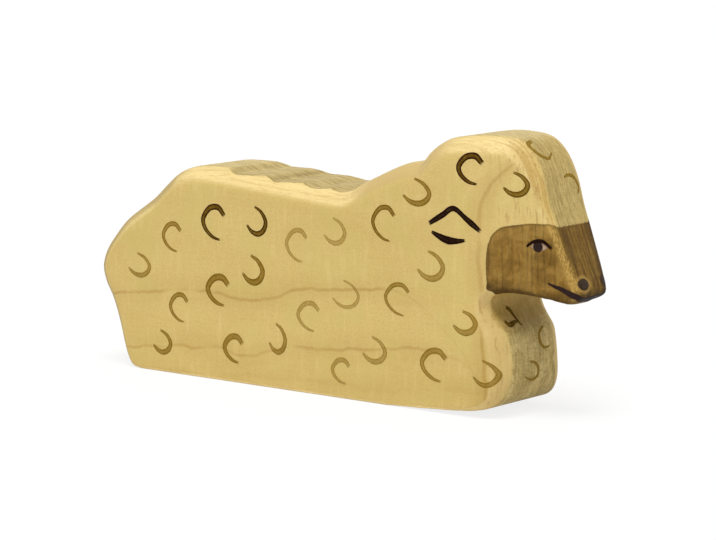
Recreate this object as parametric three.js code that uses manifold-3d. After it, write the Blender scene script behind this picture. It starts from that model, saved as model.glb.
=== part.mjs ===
// A lying sheep sawn from one board of maple, sanded round and painted by hand.
// Millimetres, +X towards the nose, +Z up, Y across the board; the origin is in the middle of the base.
import * as THREE from "three";
import { mergeVertices } from "three/addons/utils/BufferGeometryUtils.js";
import Module from "manifold-3d";

const wasm = await Module();
wasm.setup();

// Driving sizes of the figure
const THICKNESS = 24; // the board, flank to flank
const LENGTH = 127.6; // rump to nose
const CROWN_HEIGHT = 58.4; // base to the top of the head
const BACK_HEIGHT = 47; // base to the highest wool fold
const RUMP_HEIGHT = 22.3; // where the rump bulges most
const CHEST_REACH = 49; // middle of the base to the chest
const CHEST_HEIGHT = 10.2; // where the chest reaches furthest
const NECK_REACH = 44.1; // middle of the base to the hollow under the jaw
const JAW_HEIGHT = 26.2; // underside of the jaw
const CHIN_DROP = 1.3; // the chin hangs lower than the jaw
const NAPE_REACH = 26.2; // the saw turns sharply here, behind the head
const NAPE_HEIGHT = 52;
const MUZZLE_THICKNESS = 11.2; // what the taper leaves at the nose
const TAPER_START = 34.8; // the sides of the head begin to turn in here
const TAPER_BLEND = 7; // length over which they turn, before they run straight to the nose
const TAPER_FOOT = 17; // height where the neck begins to narrow into the head
const TAPER_FULL = 27; // height from which the head has its full taper
const SAW_EDGE = 0.25; // how far the sawn outline lies inside the full sanding radius

// Wool folds sawn across the back: each rises slowly towards the neck and then drops short
const FOLD_VALLEYS = [-24.3, -13.2, -2.9, 4.9];
const FOLD_DROPS = [1.15, 1.05, 0.85, 0.65];
const FOLD_STEPS = [0, 0.9, 1.75, 2.3]; // each crest is this much under the back's height
const FOLD_DROP_LENGTH = 2.6;

// Paint
const PAINT = 0.12; // thickness of one coat
const PAINT_GAP = 0.1; // clearance under each coat
const COAT = PAINT + PAINT_GAP;

const NOSE = LENGTH / 2;
const RUMP = -LENGTH / 2;
const FLANK = THICKNESS / 2;
const BEYOND = 10; // cutters run this far past what they cut
const FINEST = 0.004; // cuts leave no facet detail smaller than this
const FLUSH = 0.05; // the sanded edges meet the flanks this far past flush, so that the cut is clean
const MIDDLE = 1; // a flank's cutter stops this far from the middle of the board
const FRONT_FROM = NAPE_REACH + 9.8; // cutters from ahead end here, inside the crown
const STEPS = 3; // facets between two stations of the outline
const STROKE_STEPS = 9; // facets along a brush stroke
const ROLL_STEPS = 5; // facets across a sanded edge

// A height on the head, as a share of the way from the jaw to the crown
const upFace = (share) => THREE.MathUtils.lerp(JAW_HEIGHT, CROWN_HEIGHT, share);

// A station of the outline: its place, and how far the sanding rolls over there,
// across the board's thickness and down from the sawn edge.
const station = (x, z, across, down) => new THREE.Vector4(x, z, across, down);

// The outline in runs, base first and then round by chest, head and back; two runs meet in a corner.
function outlineRuns() {
  const alongJaw = (share) => THREE.MathUtils.lerp(NECK_REACH, NOSE, share);
  const upNeck = (share) => THREE.MathUtils.lerp(CHEST_HEIGHT, JAW_HEIGHT, share);
  const downNape = (share) => THREE.MathUtils.lerp(NAPE_HEIGHT, BACK_HEIGHT, share);
  const base = [
    station(RUMP + 12.4, 0, 1, 0.8),
    station(CHEST_REACH - 29.4, 0, 1, 0.8),
  ];
  const chest = [
    station(CHEST_REACH - 29.4, 0, 1, 0.8),
    station(CHEST_REACH - 16.4, 0.65, 1.2, 1),
    station(CHEST_REACH - 6.4, 1.5, 2.3, 1.7),
    station(CHEST_REACH - 2.5, 3, 4.2, 2.5),
    station(CHEST_REACH - 0.5, 5.9, 6, 3.6),
    station(CHEST_REACH, CHEST_HEIGHT, 6.8, 4.4),
    station(CHEST_REACH - 0.4, upNeck(0.262), 6.8, 4.4),
    station(CHEST_REACH - 1.2, upNeck(0.462), 6.4, 4.2),
    station(CHEST_REACH - 3, upNeck(0.606), 5.6, 3.6),
    station(NECK_REACH + 0.6, upNeck(0.719), 4.6, 3),
    station(NECK_REACH, upNeck(0.85), 4, 2.6),
    station(NECK_REACH + 0.6, JAW_HEIGHT - 0.7, 3.4, 2),
    station(NECK_REACH + 2.3, JAW_HEIGHT, 3, 1.8),
    station(alongJaw(0.36), JAW_HEIGHT + 0.1, 2.6, 1.6),
    station(alongJaw(0.59), JAW_HEIGHT - 0.4, 2.4, 1.3),
    station(alongJaw(0.8), JAW_HEIGHT - CHIN_DROP, 2.8, 1.5),
    station(NOSE - 1.7, JAW_HEIGHT - CHIN_DROP - 0.1, 3.2, 1.6),
    station(NOSE - 0.4, JAW_HEIGHT - CHIN_DROP + 0.9, 3.4, 1.9),
    station(NOSE, JAW_HEIGHT + 1.5, 3.4, 2.2),
    station(NOSE - 1, JAW_HEIGHT + 4.1, 3, 2.2),
    station(NOSE - 1.7, upFace(0.18), 2.8, 2.1),
    station(NOSE - 3.4, upFace(0.304), 2.8, 2),
    station(NOSE - 5.2, upFace(0.435), 2.8, 2),
    station(NOSE - 7, upFace(0.572), 3.2, 2),
    station(NOSE - 8.1, upFace(0.692), 3.8, 2.2),
    station(NOSE - 9.3, upFace(0.795), 4.6, 2.8),
    station(NOSE - 11.4, CROWN_HEIGHT - 3, 5.6, 3.6),
    station(NOSE - 14.7, CROWN_HEIGHT - 0.5, 6.2, 4.3),
    station(NOSE - 19.2, CROWN_HEIGHT, 6.5, 4.6),
    station(NOSE - 24.4, CROWN_HEIGHT - 0.1, 6.6, 4.6),
    station(NAPE_REACH + 10, CROWN_HEIGHT - 0.5, 7, 4.6),
    station(NAPE_REACH + 6.6, NAPE_HEIGHT + 5.2, 6.8, 4.5),
    station(NAPE_REACH + 2.8, NAPE_HEIGHT + 3, 6.6, 4.4),
    station(NAPE_REACH, NAPE_HEIGHT, 6.5, 4.4),
  ];
  const withers = [
    station(NAPE_REACH, NAPE_HEIGHT, 6.5, 4.4),
    station(NAPE_REACH - 3.4, downNape(0.08), 6.5, 4.4),
    station(NAPE_REACH - 7.2, downNape(0.34), 6.5, 4.4),
    station(NAPE_REACH - 11.5, downNape(0.72), 6.5, 4.4),
    station(NAPE_REACH - 16, downNape(1.14), 6.5, 4.4),
    station(FOLD_VALLEYS[3] + 2.1, BACK_HEIGHT - 2.4, 6.5, 4.4),
  ];
  const rump = [
    station(FOLD_VALLEYS[0] - FOLD_DROP_LENGTH, BACK_HEIGHT, 6.5, 4.4),
    station(FOLD_VALLEYS[0] - 6.5, BACK_HEIGHT, 6.5, 4.4),
    station(RUMP + 27.6, BACK_HEIGHT - 0.3, 6.5, 4.4),
    station(RUMP + 22.6, BACK_HEIGHT - 1.9, 6.3, 4.3),
    station(RUMP + 19.3, BACK_HEIGHT - 4.5, 6, 4.2),
    station(RUMP + 15.7, BACK_HEIGHT - 7.8, 5.6, 4),
    station(RUMP + 11.6, BACK_HEIGHT - 10.6, 5.3, 3.9),
    station(RUMP + 7.3, RUMP_HEIGHT + 11.1, 5, 3.8),
    station(RUMP + 3.9, RUMP_HEIGHT + 7.5, 5, 3.7),
    station(RUMP + 1.2, RUMP_HEIGHT + 3.9, 5, 3.6),
    station(RUMP, RUMP_HEIGHT, 5, 3.6),
    station(RUMP + 1.1, RUMP_HEIGHT - 4, 4.8, 3.5),
    station(RUMP + 3, RUMP_HEIGHT - 6.9, 4.6, 3.3),
    station(RUMP + 4.6, RUMP_HEIGHT - 10.2, 4.2, 3),
    station(RUMP + 6.1, RUMP_HEIGHT - 13.9, 3.6, 2.6),
    station(RUMP + 7.4, 5, 3, 2),
    station(RUMP + 8.9, 2.2, 2, 1.4),
    station(RUMP + 10.4, 0.5, 1.3, 1),
    station(RUMP + 12.4, 0, 1, 0.8),
  ];
  return { base, chest, withers, rump };
}

// The folds of the back, from the neck to the rump, each a slow rise and a short drop with a corner between.
function foldRuns() {
  return FOLD_VALLEYS.map((x, i) => {
    const crest = BACK_HEIGHT - FOLD_STEPS[i];
    const valley = new THREE.Vector2(x, crest - FOLD_DROPS[i]);
    const brow = new THREE.Vector2(x - FOLD_DROP_LENGTH, crest);
    return { valley, brow, crest };
  });
}

// Points of one run, its roll sizes blended along with it; two stations alone are a straight line.
function sampleRun(stations) {
  if (stations.length === 2) return stations;
  const places = new THREE.CatmullRomCurve3(
    stations.map((s) => new THREE.Vector3(s.x, s.y, 0)),
    false,
    "centripetal",
  );
  const rolls = new THREE.CatmullRomCurve3(
    stations.map((s) => new THREE.Vector3(s.z, s.w, 0)),
    false,
    "centripetal",
  );
  const count = (stations.length - 1) * STEPS;
  return Array.from({ length: count + 1 }, (_, i) => {
    const t = i / count;
    const place = places.getPoint(t);
    const roll = rolls.getPoint(t);
    return station(place.x, place.y, roll.x, roll.y);
  });
}

// Closed outline, counterclockwise seen from the right flank, without a repeated point.
function joinRuns(runs) {
  return runs.flatMap((run) => sampleRun(run).slice(0, -1));
}

// The outline that the saw cuts, with the folds.
function sawnOutline() {
  const { base, chest, withers, rump } = outlineRuns();
  const folds = foldRuns();
  const neckValley = folds.at(-1).valley;
  const rise = [...withers, station(neckValley.x, neckValley.y, 1, 1)];
  const steps = folds
    .map((fold, i) => {
      const before = folds[i - 1];
      if (!before) return [station(fold.valley.x, fold.valley.y, 1, 1), rump[0]];
      const start = before.valley;
      return [
        station(fold.valley.x, fold.valley.y, 1, 1),
        station(fold.brow.x + 0.5, fold.crest - 0.25, 1, 1),
        station(fold.brow.x - 0.9, fold.crest, 1, 1),
        station((start.x + fold.brow.x) / 2, (start.y * 2 + fold.crest) / 3, 1, 1),
        station(start.x, start.y, 1, 1),
      ];
    })
    .reverse();
  return joinRuns([base, chest, rise, ...steps, rump]);
}

// The smooth outline that the sanding follows, over the brows of the folds.
function sandedOutline() {
  const { base, chest, withers, rump } = outlineRuns();
  const brows = foldRuns()
    .slice(1)
    .reverse()
    .map((fold) => station(fold.brow.x, fold.crest, 6.5, 4.4));
  return joinRuns([base, chest, [...withers, ...brows, rump[0]], rump]);
}

// Every point of an outline moved out along its own normal.
function pushedOut(outline, distance) {
  const count = outline.length;
  return outline.map((here, i) => {
    const ahead = outline[(i + 1) % count];
    const behind = outline[(i + count - 1) % count];
    const along = new THREE.Vector2(ahead.x - behind.x, ahead.y - behind.y).normalize();
    const by = typeof distance === "number" ? distance : distance(here);
    return station(here.x + along.y * by, here.y - along.x * by, here.z, here.w);
  });
}

// Turns a closed geometry into a solid that can be cut and joined.
function solidOf(geometry) {
  const bare = geometry.index ? geometry.clone() : geometry;
  bare.deleteAttribute("normal");
  bare.deleteAttribute("uv");
  const merged = mergeVertices(bare, 1e-5);
  return new wasm.Manifold(
    new wasm.Mesh({
      numProp: 3,
      vertProperties: merged.attributes.position.array,
      triVerts: new Uint32Array(merged.index.array),
    }),
  );
}

// Turns a solid back into a geometry, its corners closer than the finest detail drawn together.
function geometryOf(solid) {
  const mesh = solid.getMesh();
  const cut = new THREE.BufferGeometry();
  cut.setAttribute("position", new THREE.BufferAttribute(mesh.vertProperties, 3));
  cut.setIndex(new THREE.BufferAttribute(mesh.triVerts, 1));
  const geometry = mergeVertices(cut, FINEST);
  const corners = geometry.index.array;
  const kept = [];
  for (let i = 0; i < corners.length; i += 3) {
    const [a, b, c] = corners.slice(i, i + 3);
    if (a !== b && b !== c && c !== a) kept.push(a, b, c);
  }
  geometry.setIndex(kept);
  geometry.computeVertexNormals();
  return geometry;
}

// A shape in the X, Z plane of the flanks carried across the board from one y to another.
function acrossBoard(shape, from, to) {
  const geometry = new THREE.ExtrudeGeometry(shape, { depth: to - from, bevelEnabled: false });
  geometry.rotateX(Math.PI / 2);
  geometry.translate(0, to, 0);
  return solidOf(geometry);
}

// The sanding envelope: the round edge that runs from the flanks to the sawn outline.
function sandingEnvelope(grow) {
  const outline = pushedOut(sandedOutline(), SAW_EDGE + grow);
  const rings = [];
  const wall = (side) => {
    const inset = pushedOut(outline, (s) => -s.w);
    return inset.map((s) => [s.x, side * (FLANK + grow + 1), s.y]);
  };
  rings.push(wall(-1));
  for (const side of [-1, 1])
    for (let k = 0; k <= ROLL_STEPS; k++) {
      const turn = ((side < 0 ? ROLL_STEPS - k : k) / ROLL_STEPS) * (Math.PI / 2);
      const inset = pushedOut(outline, (s) => -s.w * (1 - Math.cos(turn)));
      const reach = (s) => halfThickness(s.x, s.y) + grow + FLUSH - s.z * (1 - Math.sin(turn));
      rings.push(inset.map((s) => [s.x, side * reach(s), s.y]));
    }
  rings.push(wall(1));
  const count = outline.length;
  const corners = rings.flat(2);
  const faces = [];
  for (let r = 0; r + 1 < rings.length; r++)
    for (let i = 0; i < count; i++) {
      const a = r * count + i;
      const b = r * count + ((i + 1) % count);
      faces.push(a, b + count, b, a, a + count, b + count);
    }
  const plan = outline.map((s) => new THREE.Vector2(s.x, s.y));
  const lid = THREE.ShapeUtils.triangulateShape(plan, []);
  const last = (rings.length - 1) * count;
  for (const [a, b, c] of lid) {
    faces.push(a, b, c);
    faces.push(last + a, last + c, last + b);
  }
  const geometry = new THREE.BufferGeometry();
  geometry.setAttribute("position", new THREE.Float32BufferAttribute(corners, 3));
  geometry.setIndex(faces);
  return solidOf(geometry);
}

// Half the thickness at a place: the flanks are parallel, and only the head narrows to the nose.
function halfThickness(x, z) {
  const narrowing = (THICKNESS - MUZZLE_THICKNESS) / 2;
  const slope = narrowing / (NOSE - TAPER_START - TAPER_BLEND / 2);
  const past = Math.max(0, x - TAPER_START);
  const turned = past < TAPER_BLEND ? past ** 2 / (2 * TAPER_BLEND) : past - TAPER_BLEND / 2;
  return FLANK - slope * turned * THREE.MathUtils.smoothstep(z, TAPER_FOOT, TAPER_FULL);
}

// The space between the two flanks, which close in at the head, as a stack of plans at several heights.
function flankSpace(grow) {
  const bends = Array.from({ length: 6 }, (_, i) => TAPER_START + (TAPER_BLEND * i) / 5);
  const places = [RUMP - BEYOND, ...bends, NOSE + BEYOND];
  const steps = Array.from({ length: 6 }, (_, i) => THREE.MathUtils.lerp(TAPER_FOOT, TAPER_FULL, i / 5));
  const heights = [-BEYOND, ...steps, CROWN_HEIGHT + BEYOND];
  const corners = heights.flatMap((z) => {
    const left = places.map((x) => [x, halfThickness(x, z) + grow, z]);
    const right = [...left].reverse().map(([x, y]) => [x, -y, z]);
    return [...right, ...left].reverse();
  });
  const count = places.length * 2;
  const faces = [];
  for (let level = 0; level + 1 < heights.length; level++)
    for (let i = 0; i < count; i++) {
      const a = level * count + i;
      const b = level * count + ((i + 1) % count);
      faces.push(a, b, b + count, a, b + count, a + count);
    }
  const top = (heights.length - 1) * count;
  for (let i = 0; i + 1 < places.length; i++) {
    const [a, b, c, d] = [i, i + 1, count - 2 - i, count - 1 - i];
    faces.push(a, c, b, a, d, c);
    faces.push(top + a, top + b, top + c, top + a, top + c, top + d);
  }
  const geometry = new THREE.BufferGeometry();
  geometry.setAttribute("position", new THREE.Float32BufferAttribute(corners.flat(), 3));
  geometry.setIndex(faces);
  return solidOf(geometry);
}

// The wood, or the wood grown by a clearance for the paint that lies on it.
function woodSolid(grow = 0) {
  const outline = pushedOut(sawnOutline(), grow).map((s) => new THREE.Vector2(s.x, s.y));
  const blank = acrossBoard(new THREE.Shape(outline), -FLANK - 2, FLANK + 2);
  return blank.intersect(sandingEnvelope(grow)).intersect(flankSpace(grow)).simplify(FINEST);
}

// The wood grown by each layer of paint and by the clearance under it, outermost last.
const LAYERS = [0, 1, 2, 3];
const outsides = LAYERS.map((layer) => woodSolid((layer + 1) * COAT));
const insides = LAYERS.map((layer) => woodSolid(layer * COAT + PAINT_GAP));

// What a cutter leaves of one layer of paint: a film that follows the wood.
const film = (cutter, layer) => cutter.intersect(outsides[layer]).subtract(insides[layer]);

// A brush stroke's outline: its middle line as points, and its width at each.
function strokeShape(line, widths) {
  const middle = new THREE.SplineCurve(line.map(([x, z]) => new THREE.Vector2(x, z)));
  const width = (t) => {
    const at = t * (widths.length - 1);
    const i = Math.min(Math.floor(at), widths.length - 2);
    return THREE.MathUtils.lerp(widths[i], widths[i + 1], at - i);
  };
  const beside = (t, ahead, aside) => {
    const along = middle.getTangent(t);
    const across = new THREE.Vector2(-along.y, along.x);
    const half = width(t) / 2;
    return middle.getPoint(t).addScaledVector(along, ahead * half).addScaledVector(across, aside * half);
  };
  const steps = Array.from({ length: STROKE_STEPS + 1 }, (_, i) => i / STROKE_STEPS);
  const left = steps.map((t) => beside(t, 0, 1));
  const right = [...steps].reverse().map((t) => beside(t, 0, -1));
  return new THREE.Shape([...left, beside(1, 1, 0), ...right, beside(0, -1, 0)]);
}

// A cutter through one flank: side -1 is the right one and 1 the left one.
function flankCutter(shape, side) {
  const out = FLANK + BEYOND;
  return side < 0 ? acrossBoard(shape, -out, -MIDDLE) : acrossBoard(shape, MIDDLE, out);
}

// A cutter that comes from ahead, its shape drawn in the Y, Z plane.
function frontCutter(shape) {
  const geometry = new THREE.ExtrudeGeometry(shape, { depth: NOSE + BEYOND, bevelEnabled: false });
  geometry.rotateX(Math.PI / 2);
  geometry.rotateZ(Math.PI / 2);
  geometry.translate(FRONT_FROM, 0, 0);
  return solidOf(geometry);
}

// The two strokes that all curls are made with, drawn in a square from -1 to 1.
const CURL_LINES = {
  ahead: [[0.95, 0.55], [0.45, 0.95], [-0.35, 0.85], [-0.95, 0.2], [-0.75, -0.4], [-0.1, -0.85], [0.6, -1]],
  behind: [[-0.15, 1], [0.55, 0.65], [1, -0.05], [0.75, -0.7], [0.15, -1], [-0.5, -0.85], [-1, -0.4]],
};
const CURL_WIDTHS = {
  ahead: [0.8, 1, 1, 0.9, 0.75, 0.6, 0.3],
  behind: [0.35, 0.65, 0.85, 1, 1, 0.75, 0.35],
};

// One curl of wool: which way it opens, its middle, its width and height, and the brush's full width.
function curlShape(opens, x, z, wide, high, brush) {
  const line = CURL_LINES[opens].map(([a, b]) => [x + (a * wide) / 2, z + (b * high) / 2]);
  return strokeShape(line, CURL_WIDTHS[opens].map((share) => share * brush));
}

// A place on the flank, in shares of half the length and of the back's height.
const onFlank = (u, v) => [u * NOSE, v * BACK_HEIGHT];

// A place on the side of the head, back from the nose and up from the jaw. It is drawn for a head
// of this height, and keeps its share of it.
const DRAWN_HEAD = 32.2;
const headPlace = (back, up) => [NOSE - back, upFace(up / DRAWN_HEAD)];
const onHead = (line) => line.map(([back, up]) => headPlace(back, up));
const throatSide = (NECK_REACH + CHEST_REACH) / 2 - 6.95;

// Curls of the right flank: opening, place, width, height, brush, tone
const RIGHT_CURLS = [
  ["ahead", headPlace(23.4, 25.4), 5.3, 6, 1.3, "dark"],
  ["behind", headPlace(13.6, 23), 5.4, 4.8, 1, "dark"],
  ["behind", headPlace(36.7, 20), 7.1, 5.4, 1.05, "mid"],
  ["ahead", onFlank(0.29, 0.824), 5.9, 7.3, 0.95, "mid"],
  ["ahead", onFlank(-0.45, 0.746), 6.4, 7.5, 1.1, "dark"],
  ["behind", onFlank(-0.257, 0.777), 5.6, 6.1, 1.05, "dark"],
  ["ahead", onFlank(-0.642, 0.656), 5.4, 6.4, 0.85, "mid"],
  ["ahead", onFlank(-0.08, 0.682), 5.9, 7.1, 0.8, "light"],
  ["behind", onFlank(0.084, 0.768), 6, 5.7, 0.75, "light"],
  ["behind", onFlank(-0.798, 0.507), 6.6, 5.2, 0.95, "light"],
  ["behind", onFlank(-0.274, 0.548), 6, 6.1, 1.25, "mid"],
  ["ahead", onFlank(-0.432, 0.426), 5.9, 6.3, 1.65, "mid"],
  ["ahead", onFlank(-0.612, 0.322), 5.3, 6.3, 0.9, "light"],
  ["behind", onFlank(0.483, 0.661), 6.9, 6, 1.15, "light"],
  ["behind", onFlank(0.13, 0.486), 7.2, 5.8, 0.8, "light"],
  ["ahead", onFlank(0.347, 0.489), 6.3, 6.7, 0.9, "light"],
  ["ahead", onFlank(-0.03, 0.36), 6, 6.3, 0.85, "light"],
  ["behind", [throatSide, CHEST_HEIGHT + 9.7], 5.9, 4.8, 0.95, "light"],
  ["behind", onFlank(-0.693, 0.15), 5.4, 5.1, 1.15, "mid"],
  ["ahead", onFlank(-0.363, 0.16), 5.2, 5.9, 1.35, "mid"],
  ["behind", onFlank(-0.166, 0.241), 4.8, 6.5, 1, "light"],
  ["behind", onFlank(0.251, 0.248), 6.4, 5.6, 0.9, "light"],
  ["ahead", onFlank(0.498, 0.214), 6.5, 6.7, 1.05, "light"],
  ["ahead", onFlank(0.11, 0.128), 4.9, 5.4, 0.8, "light"],
  ["behind", [CHEST_REACH - 4.3, CHEST_HEIGHT - 0.3], 5.6, 5.2, 1.15, "light"],
];

// Curls of the left flank, which the photograph doesn't show, in the same manner
const LEFT_CURLS = [
  ["ahead", headPlace(23, 24.8), 5.2, 6, 1.2, "dark"],
  ["behind", headPlace(13.9, 21.8), 5, 5, 0.9, "mid"],
  ["behind", headPlace(38.8, 18.8), 6.8, 5.8, 0.9, "mid"],
  ["ahead", onFlank(0.2, 0.77), 5.6, 6.8, 0.9, "light"],
  ["behind", onFlank(0.02, 0.72), 6, 5.8, 0.95, "mid"],
  ["ahead", onFlank(-0.27, 0.77), 5.8, 6.8, 1.1, "dark"],
  ["behind", onFlank(-0.5, 0.68), 6, 6, 1, "dark"],
  ["ahead", onFlank(-0.73, 0.55), 5, 6, 0.9, "light"],
  ["behind", onFlank(0.46, 0.6), 6.4, 5.8, 1, "light"],
  ["ahead", onFlank(0.14, 0.43), 6, 6.6, 0.85, "light"],
  ["behind", onFlank(-0.2, 0.45), 5.8, 6, 1.1, "mid"],
  ["ahead", onFlank(-0.5, 0.35), 5.2, 6.4, 1.3, "mid"],
  ["behind", [CHEST_REACH - 10.7, CHEST_HEIGHT + 2.5], 5.8, 5.2, 0.95, "light"],
  ["ahead", onFlank(0.3, 0.18), 6, 6.4, 0.95, "light"],
  ["behind", onFlank(-0.1, 0.16), 5.2, 5.6, 0.95, "light"],
];

// Strokes on the sawn front, drawn in the Y, Z plane: middle line, widths, tone
const CROWN_CURL = [[-3.3, -1], [-5.1, -1.4], [-5.2, -2.4], [-4.3, -3.6], [-1.9, -4.5], [0.1, -3.4]];
const BROW_CURL = [[1.1, -8.4], [2.7, -8.1], [4.3, -8.6], [5.2, -9.8], [5.4, -11], [4.6, -12.2]];
const THROAT_LINES = [
  [[-3.7, -3.5], [-2.7, -4.3], [-2.2, -6.2], [-1.6, -7.5]],
  [[-6.3, -6.2], [-5.6, -6.9], [-3.6, -6.6], [-1.8, -6.4]],
];
const UPPER_CHEST_CURL = [[4.9, 7.6], [3, 6.6], [2.5, 5.2], [3, 3.9], [4.2, 3.2], [5.9, 3.4]];
const LOWER_CHEST_CURL = [[-1.5, 1.2], [0.3, 0.6], [1.5, -0.7], [1.2, -2.4], [-0.9, -2.9], [-3.4, -1.9]];

const raised = (line, z) => line.map(([y, dz]) => [y, z + dz]);

// The face, drawn from the side: millimetres back from the nose and up from the jaw
const EAR_RIDGE = onHead([[33.3, 13.8], [30, 15.7], [27.1, 17.3], [23.9, 15.2], [20.9, 12.9]]);
const EAR_FOLD = onHead([[32.4, 12], [30.2, 10.9], [28.3, 10.3], [26.2, 10.3], [24.4, 10.6]]);
const STAIN_EDGE = onHead([
  [19.8, 1.4],
  [20, 4.4],
  [19.9, 7.3],
  [19.3, 9.9],
  [18.2, 12],
  [16.4, 13.6],
  [14, 14.5],
  [11, 15],
  [8, 15.1],
  [6.5, 14.8],
  [5.4, 13.9],
  [4.4, 13.6],
]);
const EYE_CORNERS = onHead([[11.1, 10.2], [5.8, 10]]);
const EYE_TOP = onHead([[8.6, 11.8]]);
const EYE_BOTTOM = onHead([[8.6, 8.9]]);
const LID_LINE = onHead([[11.2, 10.2], [10, 11.2], [8.7, 11.6], [7.3, 11.4], [5.6, 10]]);
const PUPIL_MIDDLE = onHead([[8.7, 10.3]])[0];
const PUPIL_SIZE = [2.2, 2.5]; // width, height
const MOUTH_LINE = onHead([[6.9, 2.9], [5, 2], [3.1, 1.1], [1.3, 0.2], [0.2, -1.1], [0, -3]]);
const NOSTRILS_ASIDE = [-3.3, 4]; // from the middle of the board, right and left
const NOSTRIL_RISE = 2.8; // above the underside of the jaw
const NOSTRIL_SIZE = [3.3, 2.5];

// The face stain's cutter: its edge on the flank, then round in front of the muzzle and under the jaw.
function stainShape() {
  const edge = new THREE.SplineCurve(STAIN_EDGE.map(([x, z]) => new THREE.Vector2(x, z)));
  const front = NOSE + BEYOND;
  const [, brow] = STAIN_EDGE.at(-1);
  const below = JAW_HEIGHT - CHIN_DROP - 1.4;
  const start = NECK_REACH + 2.9;
  return new THREE.Shape([
    new THREE.Vector2(start - 1.8, JAW_HEIGHT + 0.15),
    ...edge.getPoints(3 * STROKE_STEPS),
    new THREE.Vector2(front, brow),
    new THREE.Vector2(front, below),
    new THREE.Vector2(start, below),
  ].reverse());
}

function ovalShape([x, z], [wide, high]) {
  return new THREE.Shape(new THREE.EllipseCurve(x, z, wide / 2, high / 2).getPoints(14).slice(0, -1));
}

// The white of the eye: an almond between its two corners.
function almondShape() {
  const [[backX, backZ], [frontX, frontZ]] = EYE_CORNERS;
  const shape = new THREE.Shape();
  shape.moveTo(backX, backZ);
  shape.quadraticCurveTo(EYE_BOTTOM[0][0], 2 * EYE_BOTTOM[0][1] - (backZ + frontZ) / 2, frontX, frontZ);
  shape.quadraticCurveTo(EYE_TOP[0][0], 2 * EYE_TOP[0][1] - (backZ + frontZ) / 2, backX, backZ);
  shape.curves.forEach((curve) => (curve.arcLengthDivisions = STROKE_STEPS));
  return new THREE.Shape(shape.getPoints(6).slice(0, -1));
}

const paint = (color, roughness) => new THREE.MeshStandardMaterial({ color, roughness, metalness: 0 });
const TONES = { dark: 0x53360c, mid: 0x8a6524, light: 0xa98a48 };
const COLOURS = { stain: 0x7c5c2a, line: 0x24140c, white: 0xcbb6a2, wood: 0xdcc183 };

const sheep = new THREE.Group();
const wooden = new THREE.Group();
const wool = new THREE.Group();
const face = new THREE.Group();
sheep.add(wooden, wool, face);

function addPiece(group, name, solid, color, roughness = 0.55) {
  const piece = new THREE.Mesh(geometryOf(solid), paint(color, roughness));
  piece.name = name;
  group.add(piece);
}

addPiece(wooden, "wooden_body", woodSolid(), COLOURS.wood, 0.62);

for (const [side, word, curls] of [[-1, "right", RIGHT_CURLS], [1, "left", LEFT_CURLS]])
  curls.forEach(([opens, [x, z], wide, high, brush, tone], i) => {
    const name = `${word}_wool_curl_${String(i + 1).padStart(2, "0")}`;
    const shape = curlShape(opens, x, z, wide, high, brush);
    addPiece(wool, name, film(flankCutter(shape, side), 0), TONES[tone]);
  });

const frontStroke = (line, widths) => frontCutter(strokeShape(line, widths));
const throat = THROAT_LINES.map((line) => frontStroke(raised(line, JAW_HEIGHT), [0.7, 0.9, 0.6, 0.3]));
addPiece(wool, "throat_wool_mark", film(throat[0].add(throat[1]), 0), TONES.mid);
for (const [name, line, height] of [
  ["crown_wool_curl", CROWN_CURL, CROWN_HEIGHT],
  ["brow_wool_curl", BROW_CURL, CROWN_HEIGHT],
  ["upper_chest_wool_curl", UPPER_CHEST_CURL, CHEST_HEIGHT],
  ["lower_chest_wool_curl", LOWER_CHEST_CURL, CHEST_HEIGHT],
]) {
  const widths = [0.35, 0.6, 0.75, 0.7, 0.5, 0.25];
  addPiece(wool, name, film(frontStroke(raised(line, height), widths), 0), TONES.light);
}

const wholeWidth = FLANK + BEYOND;
addPiece(face, "face_stain", film(acrossBoard(stainShape(), -wholeWidth, wholeWidth), 0), COLOURS.stain);
const mouth = acrossBoard(strokeShape(MOUTH_LINE, [0.35, 0.75, 1, 1.1, 1, 1]), -wholeWidth, wholeWidth);
addPiece(face, "mouth", film(mouth, 1), COLOURS.line);

for (const [side, word, aside] of [[-1, "right", NOSTRILS_ASIDE[0]], [1, "left", NOSTRILS_ASIDE[1]]]) {
  const cut = (shape, layer) => film(flankCutter(shape, side), layer);
  addPiece(face, `${word}_ear_ridge`, cut(strokeShape(EAR_RIDGE, [0.8, 1.2, 1.1, 1.3, 1]), 0), COLOURS.line);
  addPiece(face, `${word}_ear_fold`, cut(strokeShape(EAR_FOLD, [0.5, 1.2, 1.5, 1.1, 0.5]), 0), COLOURS.line);
  addPiece(face, `${word}_eye_white`, cut(almondShape(), 1), COLOURS.white);
  addPiece(face, `${word}_pupil`, cut(ovalShape(PUPIL_MIDDLE, PUPIL_SIZE), 2), COLOURS.line);
  addPiece(face, `${word}_eyelid`, cut(strokeShape(LID_LINE, [0.3, 0.5, 0.6, 0.5, 0.3]), 3), COLOURS.line);
  const nostril = frontCutter(ovalShape([aside, JAW_HEIGHT + NOSTRIL_RISE], NOSTRIL_SIZE));
  addPiece(face, `${word}_nostril`, film(nostril, 1), COLOURS.line);
}

export default sheep;
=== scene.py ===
"""A lying sheep sawn from one board of pale maple, sanded round and painted by hand.

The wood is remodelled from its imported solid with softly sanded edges. Every brush stroke is laid on it as a
thin film that follows the wood, and each piece gets its finish here.
"""

from __future__ import annotations

import logging
import math
from collections.abc import Callable, Sequence
from dataclasses import dataclass, field
from enum import Enum

import bmesh
import bpy
from bmesh.types import BMesh
from bpy.types import Material, Mesh, MeshVertex, Node, NodeSocket, NodeTree, Object
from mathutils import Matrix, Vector
from mathutils.bvhtree import BVHTree


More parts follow.
